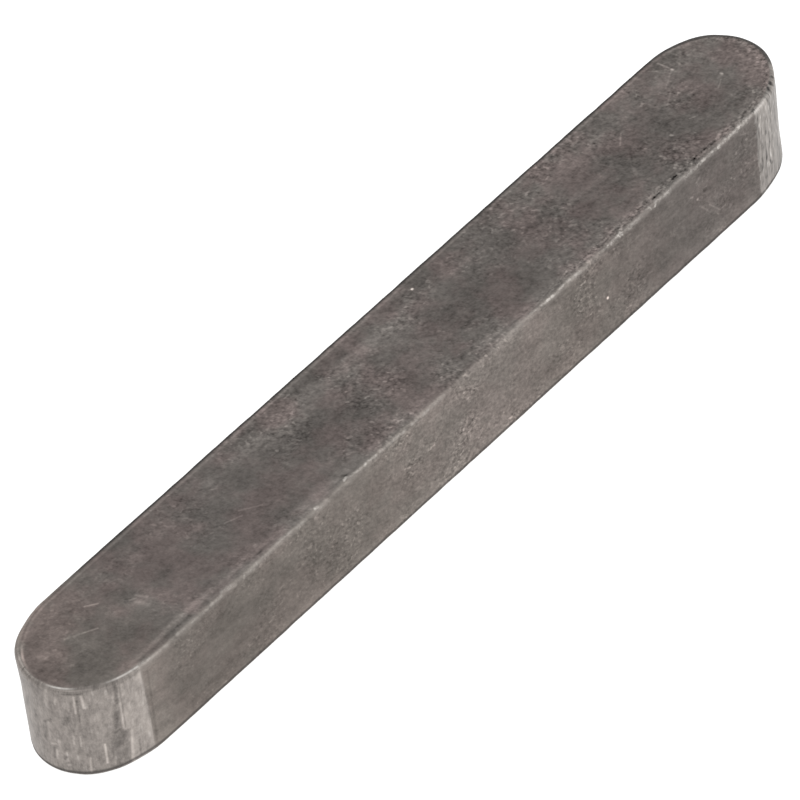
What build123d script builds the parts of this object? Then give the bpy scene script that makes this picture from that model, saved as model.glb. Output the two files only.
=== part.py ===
from build123d import *

import os

# A parallel key with two round ends: the steel bar that sits half in a shaft's keyway and
# half in a hub's, and carries the torque from one to the other on its flanks.
# Millimetres. +X runs along the key, +Y across it, and +Z from its bottom face to its top.
# The origin is the centre of the bottom face.

# Section and length: the standard 8 x 7 section, in its preferred length of 63
key_width = 8.0
key_height = 7.0
key_length = 63.0

# Each end is half an ellipse in plan, this deep from its tip to where the flanks start
end_depth = 5.0

# Rounding of both rims, the edges all round the top face and the bottom face
rim_radius = 0.3


def key_outline() -> Sketch:
    """Draw the key's plan: two straight flanks, joined by two half-elliptic ends.

    The ends meet the flanks tangentially, so the side wall is one smooth ring.
    """
    half_width = key_width / 2
    flank_end = key_length / 2 - end_depth

    front_flank = Line((-flank_end, -half_width), (flank_end, -half_width))
    right_end = EllipticalCenterArc(
        (flank_end, 0), end_depth, half_width, start_angle=-90, arc_size=180
    )
    back_flank = Line((flank_end, half_width), (-flank_end, half_width))
    left_end = EllipticalCenterArc(
        (-flank_end, 0), end_depth, half_width, start_angle=90, arc_size=180
    )
    return make_face([front_flank, right_end, back_flank, left_end])


def parallel_key() -> Part:
    """Raise the plan to the key's height and round the rims of its two flat faces."""
    blank = extrude(key_outline(), amount=key_height)
    bottom_rim = blank.faces().sort_by(Axis.Z).first.edges()
    top_rim = blank.faces().sort_by(Axis.Z).last.edges()
    return fillet(bottom_rim + top_rim, radius=rim_radius)


os.makedirs("parts", exist_ok=True)
export_step(parallel_key(), "parts/parallel_key.step")
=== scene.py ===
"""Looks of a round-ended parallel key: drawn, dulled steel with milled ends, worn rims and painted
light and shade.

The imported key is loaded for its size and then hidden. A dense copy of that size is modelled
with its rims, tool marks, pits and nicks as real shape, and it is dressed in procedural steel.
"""

from __future__ import annotations

import logging
import math
from collections.abc import Callable
from dataclasses import dataclass, field
from enum import Enum

import bmesh
import bpy
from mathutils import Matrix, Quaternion, Vector

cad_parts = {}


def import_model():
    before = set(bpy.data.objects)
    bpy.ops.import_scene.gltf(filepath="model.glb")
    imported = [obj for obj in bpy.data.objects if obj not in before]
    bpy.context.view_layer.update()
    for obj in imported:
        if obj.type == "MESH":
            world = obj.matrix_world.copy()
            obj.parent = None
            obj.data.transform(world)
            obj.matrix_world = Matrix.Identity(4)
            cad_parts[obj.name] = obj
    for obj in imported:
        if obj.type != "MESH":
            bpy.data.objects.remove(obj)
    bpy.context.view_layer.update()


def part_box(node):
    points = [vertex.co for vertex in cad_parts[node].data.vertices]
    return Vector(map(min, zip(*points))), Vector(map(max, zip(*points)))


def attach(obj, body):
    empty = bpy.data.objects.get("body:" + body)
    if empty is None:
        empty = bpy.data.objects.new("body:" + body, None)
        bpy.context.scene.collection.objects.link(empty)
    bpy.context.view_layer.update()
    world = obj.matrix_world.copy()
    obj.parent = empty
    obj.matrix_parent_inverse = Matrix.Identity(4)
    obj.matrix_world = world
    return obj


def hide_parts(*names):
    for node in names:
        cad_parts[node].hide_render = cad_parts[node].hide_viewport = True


LOG = logging.getLogger("parallel_key")
MM = 0.001
NODE = "parallel_key"
ARC_PER_DEGREE = 0.0785  # millimetres round an end for each degree of turn
OTHER_END = 9.0  # how far apart the two ends' streaks are read, so that they differ
TOUCHING = 1e-6  # metres within which two places are one
TINY = 0.001  # what a slope is kept above where it divides


# --- shader maths


def operator(operation: str, reflected: bool = False) -> Callable[..., Signal]:
    """Make a method of a signal that adds a Math node.

    Args:
        operation: what the node does.
        reflected: whether the signal is the node's second input and not its first.

    Returns:
        The method.
    """

    def apply(signal: Signal, *others: Value) -> Signal:
        """Add the node and return its result."""
        values = (*others, signal) if reflected else (signal, *others)
        return signal.board.math(operation, *values)

    return apply


@dataclass(frozen=True)
class Signal:
    """A shader value that Python's operators turn into Math nodes.

    Attributes:
        board: the node board that the socket is on.
        socket: the output that holds the value.
    """

    board: Board
    socket: Socket

    __add__ = __radd__ = operator("ADD")
    __sub__ = operator("SUBTRACT")
    __rsub__ = operator("SUBTRACT", reflected=True)
    __mul__ = __rmul__ = operator("MULTIPLY")
    __truediv__ = operator("DIVIDE")
    __pow__ = operator("POWER")
    __abs__ = operator("ABSOLUTE")
    at_least = operator("MAXIMUM")
    at_most = operator("MINIMUM")

    def rise(self, low: float, high: float) -> Signal:
        """Step smoothly from 0 at low to 1 at high, which may be the lesser of the two."""
        if high < low:
            return self.board.step(self, high, low, 1.0, 0.0)
        return self.board.step(self, low, high, 0.0, 1.0)

    def ridge(self, centre: float, half: float) -> Signal:
        """Bump smoothly up to 1 at a centre, and stay 0 beyond half from it."""
        return abs(self - centre).rise(half, 0.0)


Value = Signal | float
Triple = tuple[float, float, float]
Socket = bpy.types.NodeSocket
Paint = Triple | Socket


class Board:
    """A material's node tree, with one method that adds every kind of node."""

    def __init__(self, name: str) -> None:
        """Start an empty material.

        Args:
            name: the material's name.
        """
        self.material = bpy.data.materials.new(name)
        self.material.use_nodes = True
        self.tree = self.material.node_tree
        self.tree.nodes.clear()

    def node(self, kind: str, sockets: dict | None = None, **settings: str) -> bpy.types.Node:
        """Add a node.

        Args:
            kind: the node's type name, without the words that all of them start with.
            sockets: what each input, by name or number, is set to or linked with.
            **settings: attributes, set first.

        Returns:
            The new node.
        """
        node = self.tree.nodes.new("ShaderNode" + kind)
        for key, value in settings.items():
            setattr(node, key, value)
        for key, value in (sockets or {}).items():
            self.feed(node.inputs[key], value)
        return node

    def feed(self, socket: Socket, value: Value | Paint) -> None:
        """Link an input with a signal or a socket, or set it to a plain value.

        Args:
            socket: the input.
            value: what it takes.
        """
        if isinstance(value, Signal):
            self.tree.links.new(value.socket, socket)
        elif isinstance(value, Socket):
            self.tree.links.new(value, socket)
        elif isinstance(value, tuple) and socket.type == "RGBA":
            socket.default_value = (*value, 1.0)
        else:
            socket.default_value = value

    def math(self, operation: str, *values: Value) -> Signal:
        """Add a Math node.

        Args:
            operation: what it does.
            *values: its one to three inputs.

        Returns:
            Its result.
        """
        node = self.node("Math", dict(enumerate(values)), operation=operation)
        return Signal(self, node.outputs[0])

    def step(self, value: Value, low: float, high: float, first: float, last: float) -> Signal:
        """Go smoothly from one level to another as a value rises.

        Args:
            value: the value to step on.
            low: where the step starts.
            high: where it ends, more than low.
            first: the level up to low.
            last: the level from high on.

        Returns:
            The level.
        """
        sockets = dict(enumerate((value, low, high, first, last)))
        node = self.node("MapRange", sockets, interpolation_type="SMOOTHSTEP")
        return Signal(self, node.outputs[0])

    def vector(self, x: Value, y: Value, z: Value) -> Socket:
        """Join three values into a vector."""
        return self.node("CombineXYZ", {0: x, 1: y, 2: z}).outputs[0]

    def vectors(self, operation: str, *values: Paint) -> bpy.types.Node:
        """Add a Vector Math node.

        Args:
            operation: what it does.
            *values: its inputs, which are places, ways or colours.

        Returns:
            The node, which gives a vector first and a single value second.
        """
        return self.node("VectorMath", dict(enumerate(values)), operation=operation)

    def scaled(self, vector: Paint, factor: Value) -> Socket:
        """Scale a vector or a colour."""
        node = self.node("VectorMath", {0: vector, "Scale": factor}, operation="SCALE")
        return node.outputs[0]

    def moved(self, where: Paint, shift: Paint) -> Socket:
        """Shift a place, so that a pattern isn't the one that another noise draws there."""
        return self.vectors("ADD", where, shift).outputs[0]

    def scaled_axes(self, vector: Socket, factors: Triple) -> Socket:
        """Scale each axis of a place, or each part of a colour, by its own factor."""
        return self.vectors("MULTIPLY", vector, factors).outputs[0]

    def flattened(self, where: Socket, way: Triple, by: float) -> Socket:
        """Press a pattern flat along one way, which draws it out across that way.

        Args:
            where: the place.
            way: the unit vector to press along.
            by: how many times flatter it gets.

        Returns:
            The place to read the pattern at.
        """
        depth = self.vectors("DOT_PRODUCT", where, tuple(part * (by - 1.0) for part in way))
        return self.moved(where, self.scaled(way, Signal(self, depth.outputs["Value"])))

    def stroke(self, where: Socket, mark: Mark) -> Signal:
        """Draw a straight mark on a plane.

        Args:
            where: the place on the plane, with 0 as its third part.
            mark: the mark.

        Returns:
            How strong the mark is, from 0 to its own strength.
        """
        start = Vector((*mark.start, 0.0))
        way = Vector((*mark.end, 0.0)) - start
        back = self.vectors("SUBTRACT", tuple(start), where).outputs[0]
        share = self.vectors("DOT_PRODUCT", back, tuple(way / -way.length_squared)).outputs["Value"]
        share = Signal(self, share).at_least(0.0).at_most(1.0)
        off = self.moved(back, self.scaled(tuple(way), share))
        distance = Signal(self, self.vectors("LENGTH", off).outputs["Value"])
        return self.step(distance, 0.0, mark.width, mark.strength, 0.0)

    def strokes(self, x: Signal, y: Signal, marks: tuple[Mark, ...]) -> Signal:
        """Draw several straight marks on a plane.

        Args:
            x: the first coordinate on the plane.
            y: the second.
            marks: the marks.

        Returns:
            What their strengths add up to.
        """
        where = self.vector(x, y, 0.0)
        total = self.stroke(where, marks[0])
        for mark in marks[1:]:
            total = total + self.stroke(where, mark)
        return total

    def noise(self, where: Socket, size: float, detail: float, rough: float) -> Signal:
        """Add soft noise.

        Args:
            where: the place, in millimetres.
            size: the size of its largest lumps, in millimetres.
            detail: how many finer octaves it has.
            rough: how strong those are.

        Returns:
            The noise, about 0.5 on average.
        """
        sockets = {"Vector": where, "Scale": 1.0 / size, "Detail": detail, "Roughness": rough}
        return Signal(self, self.node("TexNoise", sockets).outputs[0])

    def blend(self, factor: Value, base: Paint, top: Paint) -> Socket:
        """Blend two colours, with as much of the second as the factor says."""
        return self.node("Mix", {0: factor, 6: base, 7: top}, data_type="RGBA").outputs[2]


# --- the steel


@dataclass(frozen=True)
class Mark:
    """A short mark in the film, such as a scratch.

    Attributes:
        start: one end, in millimetres.
        end: the other end.
        width: from its middle to where it fades out.
        strength: how much it lightens the film, or darkens it if less than 0.
    """

    start: tuple[float, float]
    end: tuple[float, float]
    width: float
    strength: float


def make_marks(*rows: tuple[float, ...]) -> tuple[Mark, ...]:
    """Make marks from rows of numbers.

    Args:
        *rows: each mark's start and end, two numbers each, then its width and strength.

    Returns:
        The marks.
    """
    return tuple(Mark(row[:2], row[2:4], *row[4:]) for row in rows)


@dataclass(frozen=True)
class PlanPlace:
    """Where a point of the key lies, as signals in millimetres, worked out from its own place.

    Attributes:
        board: the board that the signals are on.
        point: the place itself.
        along: distance along the key from its middle.
        across: distance across the key from its middle.
        height: height above the bottom face.
        beyond: how far past the flanks' end it lies, 0 between the two ends.
        rim: 0 on the line of the sharp top corner, less on the top face, more down the wall.
        foot: the same from the sharp bottom corner, more up the wall.
        turn: degrees round the nearer end, 0 at its tip and 90 at the flanks, negative in front.
        near: 1 on the near half, 0 on the far half.
        front: 1 on the front part, 0 on the back.
    """

    board: Board
    point: Socket
    along: Signal
    across: Signal
    height: Signal
    beyond: Signal
    rim: Signal
    foot: Signal
    turn: Signal
    near: Signal
    front: Signal

    @classmethod
    def on(cls, board: Board, key: KeyBar) -> PlanPlace:
        """Work out where a point lies on a key.

        Args:
            board: the board to build on.
            key: the key's sizes.

        Returns:
            The signals.
        """
        point = board.scaled(board.node("TexCoord").outputs["Object"], 1 / MM)
        parts = board.node("SeparateXYZ", {0: point}).outputs
        along, across, height = (Signal(board, part) for part in parts)
        depth, half = key.end_depth / MM, key.width / 2 / MM
        beyond = (abs(along) - key.flank_end / MM).at_least(0.0)
        reach = ((beyond / depth) ** 2.0 + (across / half) ** 2.0) ** 0.5
        slope = ((beyond / depth**2) ** 2.0 + (across / half**2) ** 2.0) ** 0.5
        inward = ((1.0 - reach) * reach / slope.at_least(TINY)).at_least(0.0)
        rim = key.height / MM - height - inward
        turn = board.math("ARCTAN2", across / half, beyond / depth) * math.degrees(1.0)
        near, front = along.rise(0.0, -1.0), across.rise(2.5, 1.5)
        foot = height - inward
        return cls(board, point, along, across, height, beyond, rim, foot, turn, near, front)

    def shifted(self, *shift: float) -> Socket:
        """Return the place moved, so that noise there differs from what it is here."""
        return self.board.moved(self.point, shift)

    def unrolled(self, press: Value = 1.0, shift: float = 0.0) -> Socket:
        """Return the place round its end and up it, pressed in height and apart for each end."""
        end = (1.0 - self.near) * OTHER_END + shift
        return self.board.vector(self.turn * ARC_PER_DEGREE, self.height * press, end)


@dataclass(frozen=True)
class WornSteel:
    """Drawn key steel, dull and brown-grey, with milled ends, and with light and shade painted on
    it.

    Attributes:
        brown: colour of the drawn faces where their film is brown.
        grey: colour of the drawn faces where their film is green-grey.
        yellower: what the film's colour is multiplied by where it turns to ochre.
        milled: colour of the milled ends.
        cooler: what that colour is multiplied by on the far end.
        glinting: colour of the painted glints on the milled ends.
        burnished_highlight: colour of the front rim's bright lines, worn bare metal and painted
            highlight.
        crescent_highlight: colour of the painted highlights on the ends' rims.
        edge_shade_colour: colour of painted shade on the back rim and foot, and of pit spots.
        film_roughness: of the drawn faces.
        milled_roughness: of the ends.
        film_edge: how bright the drawn faces are where they are seen at a slant.
        milled_edge: the same for the ends.
        grain_way: the way along which the fine grain is flat.
        grain_press: how many times flatter it is that way.
        scratches: marks on the top face, by distance along and across the key.
        tone_patches: wide, faint lighter and darker patches there.
        flank_marks: marks on the front flank, by distance along the key and height.
        rim_highlight_lines: painted highlight and bare lines on the front rim, by distance along
            the key and past the rim.
        margin_shade_lines: painted light and shade lines on the top face beside that rim, placed in
            the same way.
        cutter_marks_and_glints: tool marks, painted highlights and painted shade on the near end,
            by distance round it from its tip and height.
        far_marks: marks on the far end, placed in the same way.
        dark_pit_spots: dark spots at pits in the top rim, by distance along and across the key.
    """

    brown: Triple = (0.187, 0.156, 0.1465)
    grey: Triple = (0.164, 0.149, 0.138)
    yellower: Triple = (1.011, 1.009, 0.980)
    milled: Triple = (0.262, 0.236, 0.217)
    cooler: Triple = (1.0, 1.02, 1.03)
    # colour of painted glints
    glinting: Triple = (0.40, 0.37, 0.345)
    # colour of the front rim's painted highlight and bare metal
    burnished_highlight: Triple = (0.47, 0.44, 0.41)
    # colour of painted highlights on the ends' rims
    crescent_highlight: Triple = (0.84, 0.80, 0.76)
    # colour of painted shade on the back rim and foot, and of dark pit spots
    edge_shade_colour: Triple = (0.050, 0.048, 0.047)
    film_roughness: float = 0.55
    milled_roughness: float = 0.42
    film_edge: float = 0.5
    milled_edge: float = 0.85
    grain_way: Triple = (0.58, 0.41, 0.70)
    grain_press: float = 1.55
    scratches: tuple[Mark, ...] = make_marks(
        (-25.6, 1.65, -25, 1.2, 0.11, 0.7), (-28.1, 0.9, -26.4, -0.05, 0.12, 0.38),
        (-27.2, 0.4, -26.4, -0.05, 0.09, 0.35), (-23.85, 0.12, -23.7, -0.05, 0.16, -0.35),
        (-23.95, 0.02, -23.45, -0.25, 0.12, 0.5), (-23.3, -0.12, -23, -0.7, 0.16, 0.5),
        (-23.6, -0.5, -23.4, -1.1, 0.25, 0.35), (-23.9, -0.5, -23.2, -0.6, 0.6, 0.14),
        (-29.92, 1.1, -29.7, 0.8, 0.3, 0.3), (-29.1, 0.8, -29, 0.75, 0.14, 0.5),
        (-29.35, -0.75, -29.3, -0.8, 0.15, 0.5), (-16.2, -0.5, -15.2, -0.9, 0.1, 0.45),
        (-15, -0.5, -13.9, -1.3, 0.1, 0.4), (20.1, 0.7, 20.9, 1.3, 0.1, 0.5),
        (26.75, 3.3, 26.84, 2.3, 0.11, 0.75), (26.82, 2.32, 26.86, 2.24, 0.13, 1.6),
        (25.9, 3.3, 26.5, 2.6, 0.11, 0.45), (26.2, 2.9, 26.5, 2.2, 0.15, 0.45),
        (26.6, 2.6, 26.9, 1.8, 0.16, 0.4), (28.21, -0.26, 28.24, -0.33, 0.14, 1.3),
        (22.47, -1.18, 22.5, -1.26, 0.15, 1.2), (24.2, -1.2, 24.65, -1.38, 0.1, 0.6),
        (19.02, -1.2, 18.86, -1.7, 0.3, 0.3), (23.9, 1.6, 24.1, 0.3, 0.5, 0.14),
        (27.2, -0.9, 27.8, -0.6, 0.09, 0.45), (25.4, 1.6, 26.8, 2.3, 0.1, 0.3),
        (24.3, 0.6, 25.2, 1.1, 0.1, 0.3), (18.3, -1.9, 18.9, -2.4, 0.3, 0.22),
        (4.06, 2.95, 4.08, 2.95, 0.13, 4.8), (29.9, -2.3, 30.8, -0.6, 0.45, 0.24),
        (30.9, -0.3, 31, 1, 0.35, 0.16),
    )
    tone_patches: tuple[Mark, ...] = make_marks(
        (-10, 1.9, 1, 2, 0.9, 0.09), (11, 2.2, 26, 2.1, 1, 0.14), (-14, 2.9, 3, 3, 0.6, -0.07),
        (-25, -0.6, -23, -0.8, 1.8, 0.2), (-20, 1.4, -17, 1.3, 0.9, -0.1),
        (0, -2.8, 0.5, 0.8, 1.6, 0.17), (6, -3, 6, 1, 1.6, -0.07), (-7, -2.8, -5, -1.8, 1.5, -0.1),
        (-12.5, -3.4, -10, -3.3, 0.8, 0.12), (13, 3.4, 24, 3.4, 0.5, 0.12),
        (15, -1.9, 24, -2.2, 1, -0.08), (-27.4, 0.1, -26.6, -1.6, 1.3, 0.13),
        (-28, -3, -25.8, -3.3, 0.7, -0.12), (-3.4, 1.9, -2.6, 2.1, 1.6, 0.09),
        (-9.5, 0.9, -8.5, 0.8, 1.4, 0.07), (8.6, -0.1, 9.4, 0.1, 1.5, -0.11),
        (20.5, 1.6, 21.5, 1.6, 1.5, 0.1), (12, 1, 15, 0.9, 1.2, 0.06),
        (-0.4, -2.5, 0.6, -2.6, 1.4, 0.1), (-9.4, -2.5, -8.6, -2.4, 1.3, 0.07),
        (-18.6, -2.4, -17.4, -2.3, 1.3, -0.07), (16.8, -3.2, 19.2, -3.2, 0.8, -0.1),
        (5, -3.2, 7, -3.2, 0.8, -0.08), (-10, 3.2, -8, 3.2, 0.8, -0.1),
        (29.9, -0.7, 30, 0.2, 1.1, 0.09), (29.5, 1.9, 30, 1.5, 1, -0.1),
        (2.5, -0.8, 3.8, -0.8, 1.2, -0.07),
    )
    flank_marks: tuple[Mark, ...] = make_marks(
        (21.16, 4.44, 21.2, 4.4, 0.15, 1.2), (21.78, 4.66, 21.92, 4.58, 0.18, -0.32),
        (22.16, 3.23, 23.06, 2.1, 0.1, 0.4), (12.82, 3.18, 12.86, 3.12, 0.135, 4.5),
        (-26.78, 6.4, -26.86, 0.5, 0.15, -0.26), (-4.6, 2.6, -3.6, 2.5, 0.25, -0.12),
        (6.2, 4.7, 7.2, 4.4, 0.25, -0.1), (7.5, 4.9, 8.3, 4.4, 0.1, 0.2),
        (20.6, 5, 20.8, 4.9, 0.13, 0.7), (21.3, 3.8, 22.2, 2.6, 0.1, 0.3),
    )
    # bright lines on the front rim: painted highlight and bare metal
    rim_highlight_lines: tuple[Mark, ...] = make_marks(
        (-27.9, -0.16, -26.5, -0.12, 0.26, 0.43), (-26.4, -0.06, -24.9, 0.08, 0.26, 0.23),
        (-24.1, -0.02, -23.6, -0.02, 0.21, 0.22), (-22.9, 0.07, -21.6, 0.14, 0.23, 0.2),
        (-21.3, 0.09, -20.5, 0.09, 0.25, 0.23), (-20.3, -0.16, -19.6, -0.09, 0.2, 0.3),
        (-19.8, 0.1, -19.3, 0.18, 0.2, 0.3), (-18.5, 0.14, -17.5, 0.13, 0.23, 0.27),
        (-17.4, 0, -15.9, 0.03, 0.23, 0.17), (-15.7, -0.08, -14.4, -0.03, 0.23, 0.26),
        (-14, 0.05, -13.4, 0.08, 0.23, 0.2), (-12.3, -0.07, -12.2, -0.06, 0.2, 0.8),
        (-12, 0.2, -11.4, 0.26, 0.28, 0.22), (-9.75, -0.2, -9.52, -0.23, 0.15, 1.5),
        (-9.4, -0.12, -8.4, -0.03, 0.16, 0.38), (-8.12, 0, -8.05, 0, 0.18, 0.7),
        (-7.75, -0.05, -7.2, 0.02, 0.17, 0.5), (-6.8, 0, -6.5, 0.06, 0.16, 0.45),
        (-6.2, 0.04, -4.7, 0.16, 0.18, 0.32), (-4.1, 0.14, -3.7, 0.15, 0.18, 0.3),
        (-3.1, 0.15, -2.7, 0.18, 0.2, 0.45), (-2.6, 0.1, -1.3, 0.14, 0.24, 0.2),
        (5.3, -0.1, 6.3, -0.1, 0.28, 0.12), (6.5, -0.07, 7, -0.03, 0.17, 0.5),
        (7.4, 0, 7.9, 0.07, 0.17, 0.36), (7.95, 0.02, 8.4, 0.05, 0.19, 0.9),
        (8.4, 0.09, 9, 0.09, 0.17, 0.36), (9, -0.02, 9.5, -0.03, 0.18, 0.55),
        (9.7, -0.04, 10.7, 0.06, 0.26, 0.45), (10.9, 0.14, 11.4, 0.2, 0.2, 0.22),
        (12.9, 0.09, 13.4, 0.08, 0.18, 0.36), (13.4, 0, 14.6, -0.04, 0.22, 0.55),
        (14.5, 0, 16.1, 0.15, 0.28, 0.22), (16.95, -0.05, 17.15, 0, 0.14, 0.6),
        (17.2, 0.16, 17.6, 0.18, 0.18, 0.6), (17.8, -0.05, 18.9, 0.08, 0.34, 0.34),
        (19.1, -0.1, 20.2, -0.08, 0.26, 0.17), (20.4, 0.08, 21.8, 0.14, 0.26, 0.34),
        (22, 0.05, 23.1, 0.09, 0.22, 0.55), (23.35, 0.2, 23.45, 0.22, 0.16, 0.92),
        (23.5, 0.05, 25.3, 0.05, 0.26, 0.42), (25.3, -0.04, 27.3, -0.06, 0.3, 0.42),
    )
    # painted light and shade lines beside the front rim
    margin_shade_lines: tuple[Mark, ...] = make_marks(
        (-26.8, -0.3, -21.4, -0.36, 0.28, -0.3), (-24.5, -0.46, -22.7, -0.43, 0.2, -0.36),
        (-21.2, -0.4, -18.2, -0.42, 0.22, -0.16), (-17.9, -0.42, -15.9, -0.4, 0.2, -0.26),
        (-24.2, -0.84, -20.6, -0.8, 0.24, 0.36), (-26.8, -0.62, -24.4, -0.74, 0.22, 0.32),
        (-17.3, -0.4, -16.7, -0.4, 0.13, -0.34), (-16.55, -0.96, -16.45, -0.96, 0.18, 0.5),
        (-11.2, -0.05, -11, -0.04, 0.12, -0.4), (-10.9, -0.39, -8.6, -0.31, 0.12, -0.26),
        (-9.6, -0.5, -9.4, -0.36, 0.16, -0.45), (-6.52, -0.51, -6.45, -0.51, 0.2, 0.45),
        (-5.2, -0.75, -5.1, -0.74, 0.18, 0.35), (-4.6, -0.66, -4.3, -0.58, 0.18, 0.35),
        (-3.7, -0.62, -3.6, -0.62, 0.18, 0.3), (-3, -0.72, -2.95, -0.7, 0.18, 0.35),
        (-1, -0.75, 3, -0.85, 0.35, 0.1), (0.5, 0.35, 2, 0.35, 0.5, 0.09),
        (3, 0.4, 4.8, 0.35, 0.6, 0.12), (1.93, -0.9, 1.98, -0.9, 0.16, 0.6),
        (5, -0.42, 8.5, -0.38, 0.11, -0.14), (15.4, -0.45, 15.8, -0.5, 0.13, -0.4),
        (16.2, -0.28, 16.6, -0.3, 0.12, -0.3), (17.6, -0.36, 18.3, -0.34, 0.13, -0.36),
        (19.1, -0.45, 20.7, -0.47, 0.12, -0.3), (19.6, -0.46, 19.9, -0.45, 0.14, -0.4),
        (20.2, -0.2, 20.4, -0.24, 0.13, -0.55), (20.9, -0.52, 23.2, -0.5, 0.12, -0.24),
        (22.8, -0.42, 22.95, -0.42, 0.13, -0.4), (24.2, -0.06, 24.4, -0.04, 0.13, -0.35),
        (24.8, -0.38, 25.2, -0.26, 0.13, -0.5), (26.75, -0.27, 26.9, -0.24, 0.13, -0.5),
        (27.4, -0.42, 28.4, -0.44, 0.13, -0.2), (16, -0.64, 18.8, -0.62, 0.2, 0.16),
        (21, -0.7, 24.5, -0.66, 0.2, 0.14),
    )
    # tool marks on the near end, with painted highlights and shade at the facets' edges
    cutter_marks_and_glints: tuple[Mark, ...] = make_marks(
        (-6.22, 6.7, -6.25, 6, 0.2, 0.25), (-5.05, 6.6, -5.02, 3.2, 0.1, -0.3),
        (-5.42, 4.9, -5.4, 4.5, 0.15, 0.3), (-5.46, 3.5, -5.46, 3.1, 0.16, 0.3),
        (-5.2, 5.6, -5.14, 5, 0.14, -0.25), (-4.93, 5.2, -4.91, 3.2, 0.12, 0.5),
        (-5.3, 2.7, -5.18, 0.3, 0.15, 0.4), (-5.69, 1.9, -5.65, 0.5, 0.13, -0.4),
        (-4.79, 6.9, -4.79, 5.3, 0.15, -0.3), (-4.59, 5.9, -4.55, 5.3, 0.13, 0.4),
        (-4.24, 6.8, -4.36, 5.9, 0.16, 0.22), (-4.36, 4.9, -4.3, 3.6, 0.22, 0.16),
        (-4.66, 4.6, -4.58, 3.5, 0.25, -0.2), (-4.66, 3.2, -4.45, 3.1, 0.18, -0.3),
        (-4.93, 2.8, -4.63, 2.2, 0.45, -0.2), (-3.77, 2.4, -3.74, 0.9, 0.12, 0.95),
        (-2.89, 6.5, -2.96, 5.6, 0.15, 0.65), (-2.45, 6.5, -2.43, 5.2, 0.12, 0.6),
        (-2.62, 6.2, -2.58, 4.5, 0.12, -0.28), (-2.2, 6, -2.16, 5.4, 0.16, -0.28),
        (-2.46, 3.3, -2.43, 2.5, 0.13, 0.5), (-2.04, 3.3, -2.04, 2.7, 0.13, 0.35),
        (-2.83, 1.5, -2.77, 0.4, 0.13, 0.55), (-4.2, 1.2, -4.16, 0.6, 0.14, 0.35),
        (-2.98, 6.74, -1.81, 6.7, 0.12, -0.35), (-1.33, 6.4, -1.22, 5.8, 0.14, 0.3),
        (-0.71, 6.6, -0.63, 5.6, 0.3, 0.15), (-0.75, 4.4, -0.08, 3.9, 0.14, -0.25),
        (-0.5, 4.1, -0.42, 2.6, 0.18, 0.3), (-1.15, 2.7, -0.95, 1.9, 0.28, 0.36),
        (-1.47, 1.9, -1.43, 1.2, 0.2, 0.34), (-0.62, 2, -0.52, 1.2, 0.18, -0.3),
        (-3.1, 5.1, -2.9, 3.9, 0.3, -0.14), (-1.9, 4.8, -1.7, 4.2, 0.25, -0.16),
        (-0.08, 3, 0, 2.2, 0.25, -0.18), (-1.41, 1.5, -1.26, 1.3, 0.15, -0.36),
        (-0.79, 2.4, -0.47, 2.3, 0.16, 0.4), (-0.79, 1.9, -0.75, 1.2, 0.14, 0.5),
        (-1.57, 0.9, -1.41, 0.85, 0.17, 0.45),
    )
    far_marks: tuple[Mark, ...] = make_marks(
        (-6.31, 5.7, -6.28, 4.8, 0.1, 0.55), (-6.54, 6.3, -6.52, 5.3, 0.12, 0.22),
        (-5.98, 4.4, -5.96, 3.8, 0.14, 0.4), (-6.62, 4.2, -6.6, 3.2, 0.1, 0.3),
        (-5.36, 4.7, -5.34, 3.9, 0.15, 0.35), (-5.3, 3.9, -5.24, 3, 0.12, 0.35),
        (-5.62, 3.4, -5.6, 2.9, 0.1, 0.35), (-5.92, 2.2, -5.86, 1.9, 0.12, 0.6),
        (-5.8, 2.2, -5.62, 1.8, 0.14, -0.7), (-6.34, 2.8, -6.33, 1.4, 0.1, 0.22),
        (-5.12, 4.4, -5.06, 2.6, 0.18, -0.22), (-5.68, 4.4, -5.7, 3.2, 0.12, -0.35),
        (-6.12, 4, -6.1, 2.6, 0.1, -0.35), (-6.42, 5.4, -6.44, 4, 0.1, -0.3),
        (-4.18, 3.8, -4.14, 3.2, 0.14, -0.25), (-4.55, 6.6, -4.5, 1.5, 0.1, -0.2),
    )
    # dark spots at pits in the top rim
    dark_pit_spots: tuple[Mark, ...] = make_marks(
        (29.26, -3.12, 29.32, -3.06, 0.17, 1), (28.82, -3.34, 28.86, -3.26, 0.18, 1),
        (29.74, -2.88, 29.78, -2.82, 0.14, 0.7), (26.78, -3.78, 26.92, -3.74, 0.13, 0.8),
        (-24, 0.02, -23.9, -0.02, 0.16, 0.6),
    )

    def dress(self, key: KeyBar) -> bpy.types.Material:
        """Make the material.

        Args:
            key: the key whose sizes the pattern follows.

        Returns:
            The finished material.
        """
        board = Board("worn_key_steel")
        place = PlanPlace.on(board, key)
        milled = self._milled(place)
        # painted shade: a dark, dull line on the back rim and round the foot, and dark pit spots
        edge_shade = self._edge_shade(place)
        film, rough_patch = self._film(place)
        # the front rim's bright lines: worn bare metal and painted highlight
        worn = self._rim_wear_and_highlight(place)
        # painted highlights along the ends' rims
        crescent_highlights = self._end_rim_highlights(place)
        # the painted highlights on the ends' rims take a near-white colour
        cut = board.blend(crescent_highlights, self._cut_end(place), self.crescent_highlight)
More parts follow.
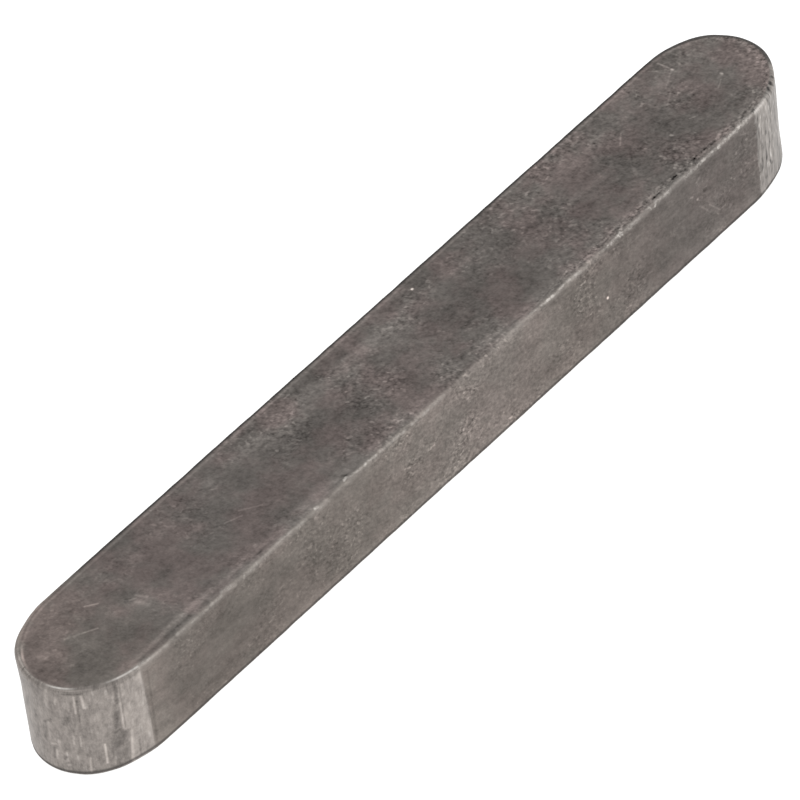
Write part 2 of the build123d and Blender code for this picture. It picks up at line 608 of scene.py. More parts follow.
        # the front rim's painted highlight and bare metal take a light colour
        film = board.blend(worn, film, self.burnished_highlight)
        relief = self._relief(place, rough_patch, milled)
        bump = board.node("Bump", {"Strength": 1.0, "Distance": MM, "Height": relief})
        metals = (
            (film, self.film_roughness - 0.1 * worn + 0.3 * edge_shade, self.film_edge),
            (cut, self.milled_roughness - 0.1 * crescent_highlights + 0.4 * edge_shade, self.milled_edge),
        )
        inputs = [milled]
        for colour, rough, edge in metals:
            sockets = {
                # the painted shade makes the steel dark, dull and not metallic
                "Base Color": board.blend(edge_shade, colour, self.edge_shade_colour),
                "Metallic": 1.0 - edge_shade,
                "Roughness": rough,
                "Specular IOR Level": 0.0,
                "Specular Tint": (edge, edge, edge),
                "Normal": bump.outputs[0],
            }
            inputs.append(board.node("BsdfPrincipled", sockets).outputs[0])
        both = board.node("MixShader", dict(enumerate(inputs)))
        board.node("OutputMaterial", {0: both.outputs[0]})
        return board.material

    def _milled(self, place: PlanPlace) -> Signal:
        """Find where the cutter has bared the ends.

        Args:
            place: where the point lies.

        Returns:
            1 on the bare metal, 0 under the film.
        """
        board = place.board
        wall = place.rim.rise(-0.34, -0.2) * place.foot.rise(-0.34, -0.2)
        late = place.near * place.across.rise(-1.0, -2.0) * (0.40 + 0.03 * place.height)
        frayed = board.noise(place.shifted(4.0, 1.0, 9.0), 0.5, 3.0, 0.8) - 0.35
        fringe = (1.0 - place.near) * frayed * 0.7
        turned_back = place.near * place.turn.rise(35.0, 55.0) * place.rim.rise(0.5, 0.25)
        return (place.beyond - late - fringe).rise(0.0, 0.22) * wall * (1.0 - turned_back)

    def _edge_shade(self, place: PlanPlace) -> Signal:
        """Find the painted shade: a dark, dull line on the back rim and round the foot, and pit
        spots.

        Args:
            place: where the point lies.

        Returns:
            How much of it lies there, from 0 to 1.
        """
        board = place.board
        back = place.across.rise(1.5, 2.5) * place.along.rise(-27.0, -22.0)
        back = (back + place.along.rise(30.2, 30.9)).at_most(1.0)
        within = place.rim + 0.06 * place.along.rise(26.0, 28.0)
        uneven = 0.12 * (board.noise(place.point, 1.6, 3.0, 0.8) - 0.5)
        # painted shade along the back rim
        rim = within.rise(-0.32, -0.22) * (place.rim + uneven).rise(0.14, 0.0) * back
        # painted shade round the foot
        foot = place.foot.ridge(0.32, 0.20) * 0.7
        # dark spots at pits in the top rim
        spots = board.strokes(place.along, place.across, self.dark_pit_spots)
        return (rim * 0.8 + foot + spots * place.height.rise(6.2, 6.7)).at_most(1.0)

    def _film(self, place: PlanPlace) -> tuple[Socket, Signal]:
        """Colour the drawn faces with their thin, cloudy film, and with painted light and shade.

        Args:
            place: where the point lies.

        Returns:
            The colour, and how rough a patch the point is in, from 0 to 1.
        """
        board, along = place.board, place.along
        on_top = place.rim.rise(0.0, -0.3)
        clouds = board.noise(place.point, 3.6, 3.0, 0.6).rise(0.40, 0.62)
        warmer = 0.34 + on_top * (0.16 + 0.10 * along.rise(-18.0, -27.0))
        tint = board.blend(warmer + (clouds - 0.5) * (0.3 + 0.7 * on_top), self.grey, self.brown)
        rough_patch = board.noise(place.shifted(31.0, 7.0, 3.0), 4.0, 3.0, 0.6).rise(0.44, 0.60)
        pressed = board.flattened(place.point, self.grain_way, self.grain_press)
        mottle = board.noise(board.moved(pressed, (5.0, 43.0, 9.0)), 3.8, 5.0, 0.95) - 0.5
        grain = board.noise(pressed, 0.30, 1.0, 0.7) - 0.5
        specks = board.noise(board.moved(pressed, (2.0, 3.0, 61.0)), 0.31, 0.0, 0.5).rise(0.65, 0.8)
        fine = grain * (0.6 + 0.8 * rough_patch) + specks * (0.1 + 0.45 * rough_patch)
        tone = 1.0 + mottle * (1.3 + 0.5 * on_top) + fine * self._coarseness(along, on_top)
        shade = self._drawing(place, on_top)
        shade = shade + on_top * board.strokes(along, place.across, self.scratches)
        on_front = place.across.rise(-3.6, -3.9)
        shade = shade + on_front * board.strokes(along, place.height, self.flank_marks)
        ochre = (1.0 - on_top) * along.rise(22.0, 8.0) * (1.0 - 0.45 * along.ridge(2.0, 11.0))
        ochre = ochre + 0.7 * on_top * along.rise(-21.0, -28.0)
        tint = board.blend(ochre, tint, board.scaled_axes(tint, self.yellower))
        return board.scaled(tint, tone * shade), rough_patch

    @staticmethod
    def _coarseness(along: Signal, on_top: Signal) -> Signal:
        """Find how strongly the fine grain shows, which differs along the key.

        Args:
            along: distance along the key.
            on_top: 1 on the top face, 0 on the wall.

        Returns:
            The factor on the grain.
        """
        top = 0.56 + 1.05 * along.rise(-24.0, 8.0)
        top = top * (1.0 - 0.45 * along.ridge(10.0, 10.0) - 0.2 * along.rise(27.0, 29.0))
        wall = 0.62 + 0.88 * along.ridge(1.0, 18.0) + 0.32 * along.rise(2.0, 10.0)
        wall = wall - 0.15 * along.rise(23.0, 26.0)
        return on_top * top + (1.0 - on_top) * wall

    def _drawing(self, place: PlanPlace, on_top: Signal) -> Signal:
        """Vary the film's shade along the lines in which the bar was drawn, and paint light and
        shade on the top, the flanks and beside the rims.

        Args:
            place: where the point lies.
            on_top: 1 on the top face, 0 on the wall.

        Returns:
            The shade, about 1.
        """
        board, along = place.board, place.along
        drawn_out = board.scaled_axes(place.point, (0.05, 0.9, 0.9))
        lines = board.noise(drawn_out, 1.0, 3.0, 0.7) - 0.5
        sway = place.across + 0.5 * (board.noise(place.point, 7.0, 1.0, 0.5) - 0.5)
        # a lighter band near the back edge of the top: worn by rubbing, and painted sheen
        rubbed_sheen = sway.ridge(2.0, 1.1) * abs(along + 4.0).rise(17.0, 4.0) * 0.2
        # painted shade down the middle of the top
        hollow_shade = sway.ridge(-0.7, 2.4) * 0.08
        # painted light along the front edge of the top
        side = sway.ridge(-3.5, 0.8) * 0.2
        tips = 0.24 * along.rise(26.0, 30.0) + 0.08 * along.rise(-25.0, -28.5)
        # wide, faint lighter and darker patches on the top
        tone_patches = board.strokes(along, place.across, self.tone_patches)
        top = on_top * (rubbed_sheen - hollow_shade + side + tone_patches + tips)
        wall = (1.0 - on_top) * self._wall_shade(place)
        return 1.0 + lines * 0.5 + top + wall + self._rim_light_and_shade(place)

    @staticmethod
    def _wall_shade(place: PlanPlace) -> Signal:
        """Vary the flanks' shade: a painted sheen lightens the middle, a painted floor reflection
        the foot, and the ends are lighter.

        Args:
            place: where the point lies.

        Returns:
            How much lighter the point is.
        """
        along = place.along
        # painted sheen, lighter in the middle of the flanks
        middle = abs(along + 1.0).rise(26.0, 0.0) * 0.3 + along.ridge(2.0, 12.0) * 0.08
        waves = 0.03 * (along.ridge(-16.0, 6.0) - along.ridge(15.0, 6.0))
        run_in = along.rise(-20.0, -26.0) * 0.2 + along.rise(-24.5, -26.8) * 0.22
        run_in = run_in + along.rise(25.0, 26.5) * 0.1 + 0.025 * along.rise(24.0, 27.0)
        # painted reflection of the floor, lighter at the foot, and a darker band halfway up
        up = place.foot.rise(1.6, 0.4) * 0.22 - 0.05 * place.height.ridge(3.8, 1.4)
        return middle + waves + run_in + up - 0.045

    def _rim_light_and_shade(self, place: PlanPlace) -> Signal:
        """Paint light and shade beside the top rim and on its rounding, with rough grain in the
        front margin.

        Args:
            place: where the point lies.

        Returns:
            How much lighter the point is.
        """
        board, rim = place.board, place.rim
        burr = board.noise(place.point, 2.2, 2.0, 0.6).rise(0.36, 0.56)
        # a painted light line and a painted shade line beside the front rim
        margin = 0.07 * rim.ridge(-0.60, 0.2) - 0.09 * rim.ridge(-0.42, 0.15)
        broken = board.noise(place.shifted(9.0, 2.0, 4.0), 0.6, 2.0, 0.8).rise(0.40, 0.60)
        # painted light and shade lines along the front margin
        lines = board.strokes(place.along, rim, self.margin_shade_lines) * (0.45 + 0.8 * broken)
        chatter = board.noise(board.scaled_axes(place.point, (0.6, 1.0, 1.0)), 0.24, 1.0, 0.7) - 0.5
        crumbs = board.noise(place.shifted(2.0, 7.0, 1.0), 0.15, 1.0, 0.7) - 0.5
        worn = place.along.rise(2.0, 14.0)
        chatter = rim.ridge(-0.42, 0.5) * (chatter * (0.35 + 1.5 * worn) + crumbs * 1.4 * worn)
        margin = margin * (0.4 + 0.6 * burr) + lines + 1.6 * chatter
        on_rounding, above_wall = rim.rise(-0.32, -0.2), rim.rise(0.5, 0.3)
        # a painted light line beside the back rim and painted shade on its rounding
        back_rim_light_and_shade = (0.38 * rim.ridge(-0.44, 0.14) - 0.2 * on_rounding) * above_wall
        turned_back = place.along.rise(-20.0, -26.0) * place.turn.rise(35.0, 50.0)
        # painted light on the near end's left rim
        left = 0.5 * turned_back * on_rounding * above_wall
        # painted highlight just inside the near end's rim
        inside = 1.6 * place.near * place.turn.ridge(32.0, 20.0) * rim.ridge(-0.32, 0.15)
        return place.front * margin + (1.0 - place.front) * back_rim_light_and_shade + left + inside

    def _cut_end(self, place: PlanPlace) -> Socket:
        """Colour the milled ends with the cutter's upright marks, and with painted glints,
        highlights and shade.

        Args:
            place: where the point lies.

        Returns:
            The colour.
        """
        board, near, far = place.board, place.near, 1.0 - place.near
        coarse = board.noise(place.unrolled(0.2 - 0.14 * far), 0.5, 3.0, 0.85) - 0.5
        fine = board.noise(place.unrolled(0.2, 3.0), 0.2, 1.0, 0.7)
        smears = board.noise(place.unrolled(0.72, 5.0), 0.9, 4.0, 0.85) - 0.5
        ragged = 0.35 + 1.3 * board.noise(place.unrolled(0.5, 7.0), 0.25, 2.0, 0.8)
        broken = board.noise(place.unrolled(1.0, 11.0), 0.45, 2.0, 0.8)
        patches = board.noise(place.shifted(3.0, 8.0, 21.0), 1.4, 1.0, 0.5).rise(0.42, 0.58)
        # painted glints where the cutter's marks catch the light
        glints = fine.rise(0.58, 0.70) * patches * (0.3 + 0.7 * far)
        scores = fine.rise(0.42, 0.30) * (0.08 + 0.2 * far)
        upright = coarse * (0.9 + 3.5 * far * broken) + 0.9 * far * (fine - 0.5)
        tone = 0.96 + upright + smears * (1.8 - 1.2 * far) - scores + 0.13 * far
        arc = place.turn * ARC_PER_DEGREE
        # tool marks, and painted highlights and shade at the facets' edges
        single = near * board.strokes(arc, place.height, self.cutter_marks_and_glints)
        single = single + far * board.strokes(arc, place.height, self.far_marks)
        dim = 0.045 * place.height.rise(1.5, 0.8) - 0.05 * place.height.rise(4.8, 6.6)
        dim = dim + 0.1 * place.turn.ridge(-51.0, 7.0) - 0.03 * place.turn.ridge(-76.0, 8.0)
        # painted highlight along the near end's top rim
        lip_highlight = near * place.rim.ridge(0.0, 0.14) * place.turn.ridge(-27.0, 24.0) * 0.6
        # painted light and shade at the facets join the end's tone
        tone = tone + self._facet_light_and_shade(place) + 0.95 * ragged * single - far * dim + lip_highlight
        cut = board.blend(glints, self.milled, self.glinting)
        cut = board.blend(far, cut, board.scaled_axes(cut, self.cooler))
        return board.scaled(cut, tone)

    @staticmethod
    def _facet_light_and_shade(place: PlanPlace) -> Signal:
        """Paint light on the flat facets where the cutter ran in beside the front flank, and shade
        next to them.

        Args:
            place: where the point lies.

        Returns:
            How much lighter the point is.
        """
        board, turn, height = place.board, place.turn, place.height
        wobble = turn + 2.0 * (board.noise(place.point, 0.6, 2.0, 0.7) - 0.5)
        # painted light on the flat facets
        lead = (wobble - 0.45 * height).rise(-84.9, -83.4)
        tall = lead * wobble.rise(-62.2, -63.4) * place.rim.rise(0.25, 0.4)
        slant = wobble + 1.2 * (height - 2.0)
        notch = slant.rise(-66.8, -65.4) * height.rise(3.1, 2.9)
        # painted light towards the near end's left side, strongest low down
        left = turn.rise(0.0, 16.0) * 0.2 * height.rise(8.0, 3.0)
        # painted shade beside the facets
        beside = turn.ridge(-57.0, 9.0) * 0.12
        return place.near * (tall * (1.0 - notch) * (0.38 - 0.015 * height) - beside + left)

    @staticmethod
    def _end_rim_highlights(place: PlanPlace) -> Signal:
        """Find the painted highlights along the rims of the ends, crescent-shaped on the near end.

        Args:
            place: where the point lies.

        Returns:
            How strong the painted highlight is, from 0 to 1.
        """
        board, rim, turn = place.board, place.rim, place.turn
        patchy = board.noise(place.point, 0.8, 3.0, 0.8).rise(0.3, 0.7)
        first = turn.rise(-99.0, -88.0) * turn.rise(-50.0, -66.0) * 0.72
        second = turn.ridge(-20.5, 16.0)
        # painted highlights along the near end's rim
        bright = place.near * rim.ridge(-0.17, 0.13) * (first + second)
        # a fainter painted highlight along the far end's rim
        pale = (1.0 - place.near) * rim.ridge(0.0, 0.35) * turn.rise(-55.0, -75.0) * 0.3
        return ((bright + pale) * (0.55 + 0.45 * patchy)).at_most(1.0)

    def _rim_wear_and_highlight(self, place: PlanPlace) -> Signal:
        """Find the bright parts of the front rim: worn bare metal and painted highlight.

        Args:
            place: where the point lies.

        Returns:
            How bright the point is made, from 0 to 1.
        """
        board = place.board
        patchy = board.noise(place.point, 1.3, 3.0, 0.8).rise(0.34, 0.66)
        dashes = board.noise(place.point, 0.34, 2.0, 0.8).rise(0.40, 0.60)
        ragged = place.along.rise(9.0, 16.0)
        sway = board.noise(place.shifted(1.0, 6.0, 2.0), 0.9, 2.0, 0.7) - 0.5
        fray = board.noise(place.shifted(5.0, 3.0, 8.0), 0.26, 2.0, 0.8) - 0.5
        waver = place.rim + 0.16 * sway + (0.12 + 0.5 * ragged) * fray
        # bright lines along the front rim: painted highlight and bare metal
        line = board.strokes(place.along, waver, self.rim_highlight_lines)
        line = line * (0.45 - 0.2 * ragged + (0.75 + 0.4 * ragged) * dashes)
        # painted highlight across the rim's rounding
        rounding_highlight = place.rim.ridge(0.0, 0.62) * (0.09 + 0.13 * patchy)
        rounding_highlight = rounding_highlight * (1.0 - 0.8 * place.along.ridge(0.5, 5.0))
        return ((line + rounding_highlight) * place.front).at_most(1.0)

    def _relief(self, place: PlanPlace, rough_patch: Signal, milled: Signal) -> Signal:
        """Raise the fine relief of the faces and the ends.

        Args:
            place: where the point lies.
            rough_patch: how rough a patch the point is in.
            milled: how far the point is on a milled end.

        Returns:
            The height, in millimetres.
        """
        board = place.board
        pressed = board.flattened(place.point, self.grain_way, self.grain_press)
        pitted = board.noise(pressed, 0.34, 2.0, 0.6) * (0.010 + 0.020 * rough_patch)
        tooled = board.noise(place.unrolled(0.1), 0.3, 2.0, 0.6) * 0.03
        return pitted * (1.0 - 0.6 * milled) + tooled * milled


# --- the key


class Region(Enum):
    """The parts of the mesh that wear shapes, by the names of their vertex groups."""

    ALL = "all"
    ENDS = "ends"
    RIMS = "rims"


class Part(Enum):
    """What can be selected in a mesh, by the name of its select mode."""

    FACE = "FACE"
    EDGE = "EDGE"


@dataclass(frozen=True)
class Wear:
    """One layer of shape that wear or work has left in the metal.

    Attributes:
        name: what left it.
        region: the part of the mesh that it shapes.
        lump: the size of its lumps, in metres.
        depth: how deep it goes, in metres.
        tall: how much taller than wide its lumps are.
        octaves: how many finer octaves the lumps have.
    """

    name: str
    region: Region
    lump: float
    depth: float
    tall: float = 1.0
    octaves: int = 2


@dataclass(frozen=True)
class Nick:
    """A dent in the metal.

    Attributes:
        place: its middle, in millimetres.
        push: how far the metal is pushed, in millimetres.
        reach: how wide it is from its middle, in millimetres.
    """

    place: Triple
    push: Triple
    reach: float


@dataclass
class KeyBar:
    """The key, one bar with two flanks and two half-elliptic ends.

    Attributes:
        length: over both ends, in metres, as are all sizes here.
        width: from flank to flank.
        height: from bottom to top.
        end_depth: from an end's tip to where the flanks start.
        rim_radius: rounding of the rims.
        end_steps: faces round each end.
        flank_steps: faces along each flank.
        wall_steps: faces up the wall.
        rim_steps: faces round each rim's rounding.
        margin_rings: narrow rings of faces just inside each rim.
        margin_step: width of one such ring.
        nose_steps: faces across the grid that fills a flat face.
        layers: the wear that shapes the metal.
        nicks: the dents.
    """

    length: float
    width: float
    height: float
    end_depth: float = 5.0 * MM
    rim_radius: float = 0.3 * MM
    end_steps: int = 90
    flank_steps: int = 330
    wall_steps: int = 38
    rim_steps: int = 6
    margin_rings: int = 3
    margin_step: float = 0.12 * MM
    nose_steps: int = 46
    layers: tuple[Wear, ...] = (
        Wear("drawn_waves", Region.ALL, 2.6 * MM, 0.020 * MM),
        Wear("drawn_ripple", Region.ALL, 0.7 * MM, 0.010 * MM),
        Wear("milling_marks", Region.ENDS, 0.40 * MM, 0.022 * MM, 20.0),
        Wear("worn_rims", Region.RIMS, 1.3 * MM, 0.035 * MM),
    )
    nicks: tuple[Nick, ...] = (
        Nick((-9.65, -3.85, 6.9), (0.0, 0.05, -0.07), 0.28),
        Nick((-12.3, -3.9, 6.9), (0.0, 0.04, -0.05), 0.3),
        Nick((-30.2, -2.7, 6.85), (0.06, 0.06, -0.06), 0.35),
        Nick((29.25, -3.2, 6.95), (-0.05, 0.05, -0.06), 0.3),
        Nick((28.85, -3.35, 6.95), (-0.04, 0.05, -0.05), 0.28),
        Nick((-29.9, 2.85, 6.8), (-0.075, 0.080, 0.0), 2.3),
        Nick((29.9, 2.95, 6.8), (0.065, 0.070, 0.0), 2.2),
        Nick((30.5, -2.40, 6.9), (-0.040, 0.020, 0.0), 1.6),
        Nick((-27.80, -3.83, 0.1), (0.012, 0.066, 0.016), 2.5),
        Nick((27.5, -3.90, 0.1), (-0.010, 0.055, 0.02), 1.7),
        Nick((30.2, -2.65, 0.1), (0.055, -0.045, 0.0), 2.3),
    )
    body: bpy.types.Object = field(init=False)

    @property
    def flank_end(self) -> float:
        """Distance from the key's middle to where the flanks end."""
        return self.length / 2 - self.end_depth

    def build(self) -> bpy.types.Object:
        """Model the bar.

        Returns:
            The finished object.
        """
        self._round_blank()
        self._stretch_to_length()
        self._close_faces()
        self._round_rims()
        self._refine_wall()
        for level in (0.0, self.height):
            self._refine_face(level)
        bpy.ops.mesh.select_all(action="SELECT")
        bpy.ops.mesh.remove_doubles(threshold=TOUCHING)
        bpy.ops.mesh.normals_make_consistent(inside=False)
        self._group_parts()
        for layer in self.layers:
            self._shape(layer)
        for nick in self.nicks:
            self._dent(nick)
        bpy.ops.object.shade_smooth()
        return self.body

    def _round_blank(self) -> None:
        """Start with an upright oval tube, as if the two ends met."""
        bpy.ops.object.select_all(action="DESELECT")
        bpy.ops.mesh.primitive_cylinder_add(
            vertices=2 * self.end_steps,
            radius=self.width / 2,
            depth=self.height,
            end_fill_type="NOTHING",
            location=(0, 0, 0),
        )
        self.body = bpy.context.object
        self.body.name = "worn_key"
        bpy.ops.object.mode_set(mode="EDIT")
        bpy.ops.mesh.select_all(action="SELECT")
        bpy.ops.transform.translate(value=(0, 0, self.height / 2))
        stretch = self.end_depth / (self.width / 2)
        bpy.ops.transform.resize(value=(stretch, 1, 1), center_override=(0, 0, 0))

    def _stretch_to_length(self) -> None:
        """Pull the two halves apart and bridge the gaps with the flanks."""
        self._select(Part.FACE, lambda face: face.calc_center_median().x < 0)
        bpy.ops.mesh.split()
        bpy.ops.transform.translate(value=(-self.flank_end, 0, 0))
        self._select(Part.FACE, lambda face: face.calc_center_median().x > 0)
        bpy.ops.transform.translate(value=(self.flank_end, 0, 0))
        for side in (-1, 1):
            flank = side * self.width / 2
            self._select(Part.EDGE, lambda e: all(abs(v.co.y - flank) < TOUCHING for v in e.verts))
            bpy.ops.mesh.bridge_edge_loops(number_cuts=self.flank_steps - 1, interpolation="LINEAR")

    def _close_faces(self) -> None:
        """Fill the top face and the bottom face."""
        for level in (0.0, self.height):
            self._select(Part.EDGE, lambda e: all(abs(v.co.z - level) < TOUCHING for v in e.verts))
            bpy.ops.mesh.edge_face_add()
        bpy.ops.mesh.select_all(action="SELECT")
        bpy.ops.mesh.normals_make_consistent(inside=False)

    def _round_rims(self) -> None:
        """Round the edges of the top face and the bottom face."""
        self._select(Part.EDGE, lambda edge: self._climb(edge) < TOUCHING)
        bpy.ops.mesh.bevel(
            offset=self.rim_radius, segments=self.rim_steps, profile=0.5, clamp_overlap=False
        )

    def _refine_wall(self) -> None:
        """Divide the wall, so that wear has faces to shape."""
        self._select(Part.EDGE, lambda edge: self._climb(edge) > self.height / 2)
        bpy.ops.mesh.subdivide(number_cuts=self.wall_steps - 1, quadcorner="STRAIGHT_CUT")

    def _refine_face(self, level: float) -> None:
        """Ring a flat face with narrow faces and fill the rest with a grid.

        Args:
            level: the face's height.
        """
        self._select(
            Part.FACE,
            lambda face: len(face.verts) > self.end_steps
            and abs(face.calc_center_median().z - level) < TOUCHING,
        )
        for _ in range(self.margin_rings):
            bpy.ops.mesh.inset(thickness=self.margin_step, use_even_offset=True)
        mesh = bmesh.from_edit_mesh(self.body.data)
        inner = next(face for face in mesh.faces if face.select)
        loop = list(inner.verts)
        corner = self._grid_corner(loop)
        bpy.ops.mesh.delete(type="ONLY_FACE")
        bpy.ops.mesh.select_mode(type="VERT")
        bpy.ops.mesh.select_all(action="DESELECT")
        mesh = bmesh.from_edit_mesh(self.body.data)
        for vert in loop:
            vert.select_set(True)
        mesh.select_flush(True)
        mesh.select_history.clear()
        mesh.select_history.add(corner)
        bmesh.update_edit_mesh(self.body.data)
        bpy.ops.mesh.fill_grid(span=self.nose_steps, offset=0, use_interp_simple=False)

    def _grid_corner(self, loop: list[bmesh.types.BMVert]) -> bmesh.types.BMVert:
        """Pick the vertex where the filling grid has its first corner.

        Args:
            loop: the vertices round the hole.

        Returns:
            The vertex.
        """
        skipped = (self.end_steps - self.nose_steps) / 2
        angle = math.pi * (0.5 - skipped / self.end_steps)
        edge = self.rim_radius + self.margin_rings * self.margin_step
        x = self.flank_end + (self.end_depth - edge) * math.cos(angle)
        y = (self.width / 2 - edge) * math.sin(angle)
        return min(loop, key=lambda vert: (vert.co.x - x) ** 2 + (vert.co.y - y) ** 2)

    def _group_parts(self) -> None:
        """Name the parts of the mesh that the wear shapes."""
        bpy.ops.object.mode_set(mode="OBJECT")
        verts = self.body.data.vertices
        rim, flank_end, top = self.rim_radius, self.flank_end, self.height
        tests = {
            Region.ALL: lambda place: True,
            Region.ENDS: lambda place: abs(place.x) > flank_end + rim and rim < place.z < top - rim,
            Region.RIMS: self._on_rim,
        }
        for region, belongs in tests.items():
            members = [vert.index for vert in verts if belongs(vert.co)]
            self.body.vertex_groups.new(name=region.value).add(members, 1.0, "REPLACE")
            LOG.info("wear group %s: %d vertices", region.value, len(members))

    def _on_rim(self, place: Vector) -> bool:
        """Tell whether a place is on the rounding of a rim."""
        level = min(place.z, self.height - place.z)
        beyond = max(abs(place.x) - self.flank_end, 0.0)
        reach = math.hypot(beyond / self.end_depth, place.y / (self.width / 2))
        inner = 1.0 - 0.9 * self.rim_radius / (self.width / 2)
        return level < 0.95 * self.rim_radius and reach > inner

    def _shape(self, wear: Wear) -> None:
        """Press one layer of wear into the metal.

        Args:
            wear: the layer.
        """
        guide = bpy.data.objects.new("guide", None)
        bpy.context.scene.collection.objects.link(guide)
        guide.scale = (1.0, 1.0, wear.tall)
        texture = bpy.data.textures.new(wear.name, "CLOUDS")
        texture.noise_scale = wear.lump
        texture.noise_depth = wear.octaves
        modifier = self.body.modifiers.new(wear.name, "DISPLACE")
        modifier.texture = texture
        modifier.texture_coords = "OBJECT"
        modifier.texture_coords_object = guide
        modifier.vertex_group = wear.region.value
        modifier.strength = wear.depth
        modifier.mid_level = 0.5
        bpy.context.view_layer.update()
        bpy.ops.object.modifier_apply(modifier=modifier.name)
        bpy.data.objects.remove(guide)

    def _dent(self, nick: Nick) -> None:
        """Push a dent into the metal.

        Args:
            nick: the dent.
        """
        middle = Vector(nick.place) * MM
        nearest = min(self.body.data.vertices, key=lambda vert: (vert.co - middle).length_squared)
        bpy.ops.object.mode_set(mode="EDIT")
        bpy.ops.mesh.select_mode(type="VERT")
        bpy.ops.mesh.select_all(action="DESELECT")
        mesh = bmesh.from_edit_mesh(self.body.data)
        mesh.verts.ensure_lookup_table()
        mesh.verts[nearest.index].select_set(True)
        bmesh.update_edit_mesh(self.body.data)
        bpy.ops.transform.translate(
            value=tuple(step * MM for step in nick.push),
            use_proportional_edit=True,
            proportional_edit_falloff="SMOOTH",
            proportional_size=nick.reach * MM,
        )
        bpy.ops.object.mode_set(mode="OBJECT")

    @staticmethod
    def _climb(edge: bmesh.types.BMEdge) -> float:
        """Return how far an edge goes up or down."""
        return abs(edge.verts[0].co.z - edge.verts[1].co.z)

    def _select(self, part: Part, wanted: Callable[..., bool]) -> None:
        """Select the faces or edges that a test picks, and nothing else.

        Args:
            part: whether to select faces or edges.
            wanted: the test.
        """
        bpy.ops.mesh.select_mode(type=part.value)
        bpy.ops.mesh.select_all(action="DESELECT")
        mesh = bmesh.from_edit_mesh(self.body.data)
        for item in mesh.faces if part is Part.FACE else mesh.edges:
            item.select_set(wanted(item))
        bmesh.update_edit_mesh(self.body.data)


# --- the studio


def put_up(
    data: bpy.types.ID,
    azimuth: float,
    elevation: float,
    distance: float,
    aim: Triple = (0.0, 0.0, 0.0),
    roll: float = 0.0,
) -> bpy.types.Object:
    """Add a camera or a lamp that looks at a point.

    Args:
        data: the camera or the lamp.
        azimuth: degrees round the point, 0 in front.
        elevation: degrees above the floor.
        distance: from the point, in metres.
        aim: the point.
        roll: degrees that it leans.

    Returns:
        The new object.
    """
    turn, rise = math.radians(azimuth), math.radians(elevation)
    level_way = Vector((math.sin(turn), -math.cos(turn), 0.0))
    away = level_way * math.cos(rise) + Vector((0.0, 0.0, math.sin(rise)))
    item = bpy.data.objects.new(data.name, data)
    bpy.context.scene.collection.objects.link(item)
    item.location = Vector(aim) + away * distance
    item.rotation_mode = "QUATERNION"
    level = (-away).to_track_quat("-Z", "Y")
    item.rotation_quaternion = level @ Quaternion((0, 0, 1), math.radians(roll))
    return item


@dataclass(frozen=True)
class Lens:
    """The camera's place and lens.

    Attributes:
        azimuth: degrees round the key, 0 looking along +Y.
        elevation: degrees above the floor.
        roll: degrees that the camera leans.
        distance: from the aim to the camera.
        aim: the point that it looks at.
        focal: focal length in millimetres on a sensor of the width below.
        sensor: sensor width in millimetres.
        clip: the nearest and the farthest distance that it sees.
    """

    azimuth: float = -44.335
    elevation: float = 45.076
    roll: float = -7.332
    distance: float = 0.50035
    aim: Triple = (-0.00058, 0.00034, 0.00334)
    focal: float = 394.34
    sensor: float = 36.0
    clip: tuple[float, float] = (0.01, 100.0)

    def set_up(self) -> bpy.types.Object:
        """Add the camera and make it the scene's.

        Returns:
            The camera.
        """
        data = bpy.data.cameras.new("camera")
        data.lens = self.focal
        data.sensor_width = self.sensor
        data.clip_start, data.clip_end = self.clip
        camera = put_up(data, self.azimuth, self.elevation, self.distance, self.aim, self.roll)
        bpy.context.scene.camera = camera
        return camera


@dataclass(frozen=True)
class Softbox:
    """A soft, flat lamp that looks at the key.

    Attributes:
        name: what it is called.
        azimuth: degrees round the key, 0 in front.
        elevation: degrees above the floor.
        distance: from the key.
        width: across the lamp.
        tall: up the lamp.
        power: watts.
    """

    name: str
    azimuth: float
    elevation: float
    distance: float
    width: float
    tall: float
    power: float

    def hang(self) -> None:
        """Add the lamp."""
        data = bpy.data.lights.new(self.name, "AREA")
        data.shape = "RECTANGLE"
        data.size, data.size_y = self.width, self.tall
        data.energy = self.power
        lamp = put_up(data, self.azimuth, self.elevation, self.distance)
        lamp.visible_camera = False


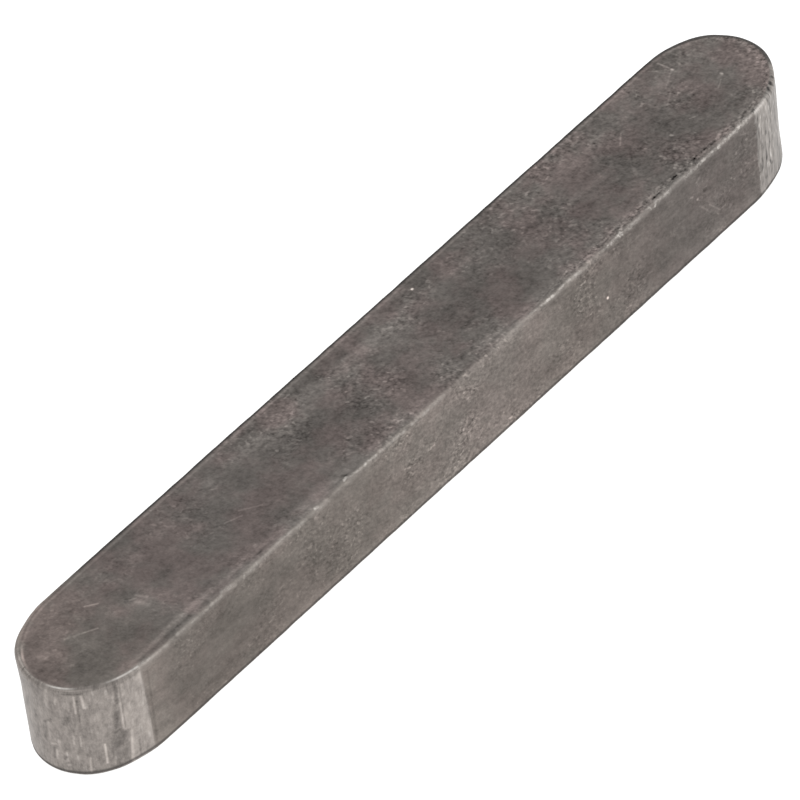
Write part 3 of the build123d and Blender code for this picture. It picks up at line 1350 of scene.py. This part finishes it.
@dataclass(frozen=True)
class Studio:
    """A white light table under an even sky, with soft lamps.

    Attributes:
        floor_size: across the table, in metres.
        floor_height: of the table's top, just under the key's small dents and ripples.
        floor_colour: colour of the table's top.
        floor_roughness: of the table's top.
        floor_glow: how strongly the table is lit from below.
        sky: colour of the surroundings.
        sky_strength: how bright they are.
        lamps: the soft lamps.
    """

    floor_size: float = 12.0
    floor_height: float = -0.02 * MM
    floor_colour: Triple = (0.35, 0.35, 0.35)
    floor_roughness: float = 0.9
    floor_glow: float = 0.92
    sky: Triple = (1.0, 1.0, 1.0)
    sky_strength: float = 0.84
    lamps: tuple[Softbox, ...] = (
        Softbox("key_lamp", 34.0, 30.0, 2.2, 2.2, 1.6, 10.0),
        Softbox("back_lamp", 178.0, 40.0, 2.4, 1.2, 0.8, 5.0),
    )

    def set_up(self) -> None:
        """Build the table, the sky and the lamps."""
        scene = bpy.context.scene
        scene.view_settings.view_transform = "Standard"
        world = bpy.data.worlds.new("studio")
        world.use_nodes = True
        background = world.node_tree.nodes["Background"]
        background.inputs[0].default_value = (*self.sky, 1.0)
        background.inputs[1].default_value = self.sky_strength
        scene.world = world
        bpy.ops.object.select_all(action="DESELECT")
        bpy.ops.mesh.primitive_plane_add(size=self.floor_size, location=(0, 0, self.floor_height))
        floor = bpy.context.object
        floor.name = "studio_floor"
        board = Board("light_table")
        sockets = {
            "Base Color": self.floor_colour,
            "Roughness": self.floor_roughness,
            "Emission Color": (1.0, 1.0, 1.0),
            "Emission Strength": self.floor_glow,
        }
        shader = board.node("BsdfPrincipled", sockets)
        board.node("OutputMaterial", {0: shader.outputs[0]})
        floor.data.materials.append(board.material)
        for lamp in self.lamps:
            lamp.hang()


def main() -> None:
    """Build the key, its finish and the studio, and say what was made."""
    logging.basicConfig(level=logging.INFO, format="%(message)s")
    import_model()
    low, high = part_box(NODE)
    size = high - low
    key = KeyBar(length=size.x, width=size.y, height=size.z)
    body = key.build()
    body.data.materials.append(WornSteel().dress(key))
    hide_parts(NODE)
    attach(body, "root")
    LOG.info("%s: %d faces", body.name, len(body.data.polygons))
    Studio().set_up()
    Lens().set_up()


if __name__ == "__main__":
    main()
